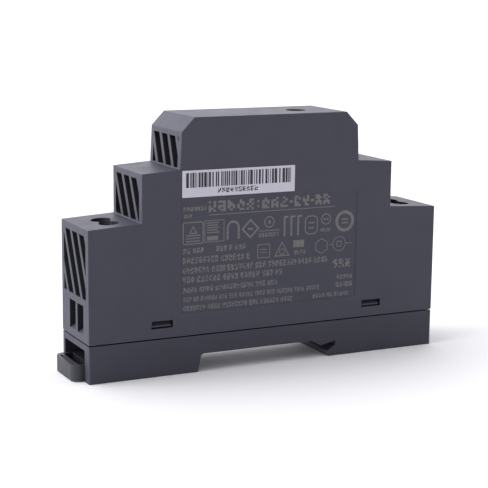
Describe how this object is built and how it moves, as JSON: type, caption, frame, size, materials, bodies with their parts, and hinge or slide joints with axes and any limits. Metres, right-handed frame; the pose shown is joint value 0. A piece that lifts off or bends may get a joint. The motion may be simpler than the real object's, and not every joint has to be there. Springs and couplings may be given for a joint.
{
  "type": "DIN rail power supply",
  "caption": "Narrow stepped DIN rail power supply in a dark plastic case, with slanted vents, screw terminals at both ends, a trimmer hole and a sliding rail clip.",
  "frame": {"origin": "centre of the flat seat that rests on the rail, in the middle of the case's length and width", "axes": "+X from the input end with the rail clip to the output end, +Y across the narrow case away from the marked side, +Z away from the rail to the front face"},
  "size_m": [0.0927, 0.0177, 0.0587],
  "materials": {
    "case": "fine satin texture",
    "clip": "smooth satin",
    "spring": "bright drawn wire",
    "board": "solder-masked laminate",
    "label": "matt printed paper",
    "terminal_block": "satin",
    "screw_steel": "zinc plated",
    "clamp_steel": "zinc plated",
    "contact_metal": "tin plated",
    "fuse_body": "lacquered",
    "disc_blue": "epoxy coated",
    "disc_green": "epoxy coated",
    "ferrite": "ground ferrite",
    "copper_wire": "enamelled copper",
    "package_black": "moulded",
    "package_white": "moulded",
    "can_sleeve": "shrink sleeve",
    "bobbin": "phenolic",
    "tape": "polyester tape",
    "trimmer_blue": "moulded",
    "trimmer_white": "moulded",
    "led_lens": "clear tinted epoxy"
  },
  "bodies": {
    "case": {"barcode_label": "label", "bridge_rectifier": "package_black", "bulk_capacitor_lower": "can_sleeve", "bulk_capacitor_upper": "can_sleeve", "circuit_board": "board", "clip_spring": "spring", "feedback_resistor": "package_black", "filter_choke_core": "ferrite", "filter_choke_winding": "copper_wire", "front_cover": "case", "input_contact_line": "contact_metal", "input_contact_neutral": "contact_metal", "input_fuse": "fuse_body", "input_terminal_housing": "terminal_block", "inrush_thermistor": "disc_green", "isolation_capacitor": "disc_blue", "optocoupler": "package_white", "output_capacitor_lower": "can_sleeve", "output_capacitor_upper": "can_sleeve", "output_choke_core": "ferrite", "output_choke_winding": "copper_wire", "output_contact_negative": "contact_metal", "output_contact_positive": "contact_metal", "output_led": "led_lens", "output_rectifier": "package_black", "output_terminal_housing": "terminal_block", "rear_base": "case", "sense_resistor": "package_black", "snubber_diode": "package_black", "snubber_resistor": "package_black", "surge_varistor": "disc_blue", "switching_controller": "package_black", "transformer_bobbin": "bobbin", "transformer_core_left": "ferrite", "transformer_core_right": "ferrite", "transformer_tape": "tape", "transformer_winding": "copper_wire", "trimmer_body": "trimmer_blue", "voltage_reference": "package_black"},
    "rail_clip": {"din_clip": "clip"},
    "trimmer_rotor": {"trimmer_rotor": "trimmer_white"},
    "input_screw_line": {"input_screw_line": "screw_steel"},
    "input_clamp_line": {"input_clamp_line": "clamp_steel"},
    "input_screw_neutral": {"input_screw_neutral": "screw_steel"},
    "input_clamp_neutral": {"input_clamp_neutral": "clamp_steel"},
    "output_screw_positive": {"output_screw_positive": "screw_steel"},
    "output_clamp_positive": {"output_clamp_positive": "clamp_steel"},
    "output_screw_negative": {"output_screw_negative": "screw_steel"},
    "output_clamp_negative": {"output_clamp_negative": "clamp_steel"}
  },
  "joints": [
    {"name": "clip_pull", "type": "slide", "parent": "case", "child": "rail_clip", "axis": [-1, 0, 0], "range_m": [0, 0.003], "stiffness_N_per_m": 300, "springref_m": -0.002, "deforming": ["clip_spring"]},
    {"name": "input_line_screw_turn", "type": "hinge", "parent": "case", "child": "input_screw_line", "pos_m": [-0.0381, -0.0034, 0.02], "axis": [0, 0, -1], "range_deg": [0, 2702]},
    {"name": "input_line_clamp_rise", "type": "slide", "parent": "case", "child": "input_clamp_line", "axis": [0, 0, 1], "range_m": [0, 0.00337]},
    {"name": "input_neutral_screw_turn", "type": "hinge", "parent": "case", "child": "input_screw_neutral", "pos_m": [-0.0381, 0.00168, 0.02], "axis": [0, 0, -1], "range_deg": [0, 2702]},
    {"name": "input_neutral_clamp_rise", "type": "slide", "parent": "case", "child": "input_clamp_neutral", "axis": [0, 0, 1], "range_m": [0, 0.00337]},
    {"name": "output_positive_screw_turn", "type": "hinge", "parent": "case", "child": "output_screw_positive", "pos_m": [0.0381, -0.0034, 0.02], "axis": [0, 0, -1], "range_deg": [0, 2702]},
    {"name": "output_positive_clamp_rise", "type": "slide", "parent": "case", "child": "output_clamp_positive", "axis": [0, 0, 1], "range_m": [0, 0.00337]},
    {"name": "output_negative_screw_turn", "type": "hinge", "parent": "case", "child": "output_screw_negative", "pos_m": [0.0381, 0.00168, 0.02], "axis": [0, 0, -1], "range_deg": [0, 2702]},
    {"name": "output_negative_clamp_rise", "type": "slide", "parent": "case", "child": "output_clamp_negative", "axis": [0, 0, 1], "range_m": [0, 0.00337]},
    {"name": "voltage_trim", "type": "hinge", "parent": "case", "child": "trimmer_rotor", "pos_m": [0.0101, -0.0009, 0.0502], "axis": [0, 0, -1], "range_deg": [-135, 135]}
  ],
  "couplings": [
    {"joint": "input_line_screw_turn", "follows": "input_line_clamp_rise", "rad_per_m": 13963},
    {"joint": "input_neutral_screw_turn", "follows": "input_neutral_clamp_rise", "rad_per_m": 13963},
    {"joint": "output_positive_screw_turn", "follows": "output_positive_clamp_rise", "rad_per_m": 13963},
    {"joint": "output_negative_screw_turn", "follows": "output_negative_clamp_rise", "rad_per_m": 13963}
  ]
}
